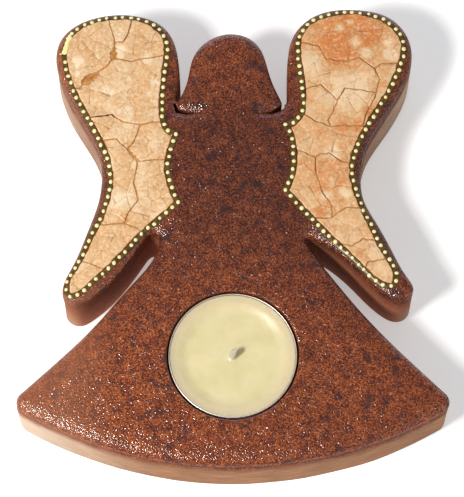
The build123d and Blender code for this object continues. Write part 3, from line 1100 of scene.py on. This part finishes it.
# The foil's warm tint is a painted reflection of the brown clay round the cup.
foil_finish = new_finish(
    "drawn_foil", Base_Color=(0.88, 0.80, 0.71, 1), Metallic=1.0, Roughness=0.4
)
foil_place = millimetres((1, 1, 0.05))
feed(
    Roughness=rescale(cloud(foil_place, 0.5, 3.0), 0.3, 0.7, 0.32, 0.52),
    Normal=relief(cloud(foil_place, 0.35, 3.0), 0.02),
)
cup = lathe(cup_profile(), 288, "foil_cup", flutes)
settle(cup, "tealight_cup", "cup_foil", foil_finish, "tealight_cup")
print("the cup has", len(cup.data.polygons), "faces")

# %% [markdown]
# The wax was poured, and as it cooled it clung to the foil, so it has a raised rim and a slightly
# sunken, faintly rippled face, with a small collar where it crept up the wick. Light goes into wax
# and comes out near by, which is what subsurface scattering does.

# %% Wax
wick_low, wick_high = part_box("wick")
wick_radius = (wick_high.x - wick_low.x) / 2
wax_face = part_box("wax")[1].z - 0.4 * MM


def wax_profile():
    """From the wick's collar out over the face and the raised rim, then down to the cup's floor."""
    profile = []
    for radius in (0.0, 0.45, 0.85, 1.2, 1.7, 2.3, 3.0):
        collar = 0.75 * math.exp(-((radius / 1.0) ** 2))
        profile.append((radius * MM, wax_face + collar * MM))
    profile += [(radius * MM, wax_face) for radius in np.linspace(3.8, 15.0, 15)]
    for radius in (15.6, 16.2, 16.7, 17.1, 17.5, 17.9, 18.2):
        climb = 0.42 * ((radius - 15.0) / 3.4) ** 2.2
        profile.append((radius * MM, wax_face + climb * MM))
    profile.append((wax_radius - 0.12 * MM, wax_high.z - 0.02 * MM))
    profile.append((wax_radius, wax_high.z - 0.25 * MM))
    profile += [(wax_radius, height) for height in np.linspace(wax_high.z - 1 * MM, wax_low.z + 1 * MM, 6)]
    profile += [(wax_radius - 0.9 * MM, wax_low.z), (0, wax_low.z)]
    return profile


def wax_ripples(angle, radius, height):
    """A gentle sag towards the wick and small uneven swells on the face."""
    if height < wax_face - 0.3 * MM:
        return 0, 0
    x, y = radius * math.cos(angle) / MM, radius * math.sin(angle) / MM
    swell = 0.07 * noise.noise(Vector((x / 5, y / 5, 2.0)))
    swell += 0.03 * noise.noise(Vector((x / 1.6, y / 1.6, 9.0)))
    slope_share = min(1.0, max(0.0, (16.9 - radius / MM) / 3.6))
    sag = -0.85 * slope_share ** 2 * (3 - 2 * slope_share)
    hold = min(1.0, max(0.0, (wax_radius - radius) / (1.0 * MM)))
    return 0, (swell + sag) * hold * MM


wax_finish = new_finish(
    "ivory_wax", Roughness=0.36, Subsurface_Weight=0.85, Subsurface_Scale=4.0 * MM,
    Subsurface_Radius=(1.0, 0.75, 0.42), IOR=1.44, Coat_Weight=0.2, Coat_Roughness=0.18,
)
wax_place = millimetres()
centred_place = millimetres(start=(-candle_axis.x / MM, -candle_axis.y / MM, 0))
flat_distance = add_node(
    "ShaderNodeVectorMath",
    {0: add_node(
        "ShaderNodeVectorMath", {0: centred_place, 1: (1, 1, 0)}, operation="MULTIPLY"
    ).outputs[0]}, operation="LENGTH",
).outputs["Value"]
wax_body = colour_ramp(
    cloud(wax_place, 6.0, 3.0, 0.55),
    [(0.3, (0.66, 0.60, 0.33)), (0.7, (0.74, 0.66, 0.41))],
)
wax_colour = blend_colours(rescale(flat_distance, 14.0, 18.3), wax_body, (0.66, 0.54, 0.36))
feed(Base_Color=wax_colour, Normal=relief(cloud(wax_place, 1.4, 3.0), 0.06))
wax = lathe(wax_profile(), 160, "poured_wax", wax_ripples)
settle(wax, "candle", "candle_wax", wax_finish, "wax")
print("the wax stands", round((cup_high.z - wax_face) / MM, 2), "mm below the cup's rim")

# %% [markdown]
# The wick is a short cotton braid stiffened with wax. Three plies twist about each other, so the
# section is a rounded clover that turns as it climbs. Geometry Nodes would bring nothing here that
# one loop does not, because there is a single wick.

# %% Wick and sustainer
def twisted_wick():
    rings, around = 46, 30
    braid = bmesh.new()
    grid = []
    for level in range(rings):
        share = level / (rings - 1)
        height = wick_low.z + share * (wick_high.z - wick_low.z)
        above = max(0.0, (height - wax_face) / MM)
        lean = Vector((0.13 * above ** 1.5, 0.21 * above ** 1.4)) * MM
        taper = 1.0 if share < 0.96 else 1.0 - 7 * (share - 0.96)
        ring = []
        for step in range(around):
            angle = 2 * math.pi * step / around
            clover = 0.84 + 0.16 * abs(math.cos(1.5 * (angle - share * 24)))
            reach = wick_radius * 1.25 * clover * taper
            ring.append(braid.verts.new((
                candle_axis.x + lean.x + reach * math.cos(angle),
                candle_axis.y + lean.y + reach * math.sin(angle), height,
            )))
        grid.append(ring)
    braid.faces.new(grid[0][::-1])
    braid.faces.new(grid[-1])
    return skin(braid, grid, around, "cotton_wick", 60)


cotton_finish = mottled_finish(
    "waxed_cotton", (0.4, 3.0), [(0.3, (0.36, 0.31, 0.24)), (0.7, (0.62, 0.56, 0.45))],
    (0.15, 2.0), 0.05, Roughness=0.6, Subsurface_Weight=0.3, Subsurface_Scale=0.6 * MM,
    Sheen_Weight=0.2,
)
settle(twisted_wick(), "candle", "wick_cotton", cotton_finish, "wick")

tin_finish = new_finish("tinned_steel", Base_Color=(0.55, 0.55, 0.54, 1), Metallic=1.0)
feed(Roughness=rescale( cloud(millimetres((1, 0.1, 1)), 0.4), 0.3, 0.7, 0.2, 0.45 ))
paint(nodes["wick_sustainer"], tin_finish)
print("the wick stands", round((wick_high.z - wax_face) / MM, 1), "mm out of the wax")

# %% [markdown]
# ## The table
# The floor only has to be pale and plain, and large enough that no edge shows from any side.

# %% Floor
floor_mesh = bpy.data.meshes.new("table_top")
reach = 3.0
floor_mesh.from_pydata(
    [(-reach, -reach, 0), (reach, -reach, 0), (reach, reach, 0), (-reach, reach, 0)], [],
    [(0, 1, 2, 3)],
)
floor = link_object("table_top", floor_mesh)
floor.location.z = slab_low.z - 0.02 * MM
floor_mesh.materials.append(
    new_finish(
        "pale_table", Base_Color=(0.82, 0.82, 0.82, 1), Roughness=0.7,
        Emission_Color=(1, 1, 1, 1), Emission_Strength=0.38,
    )
)
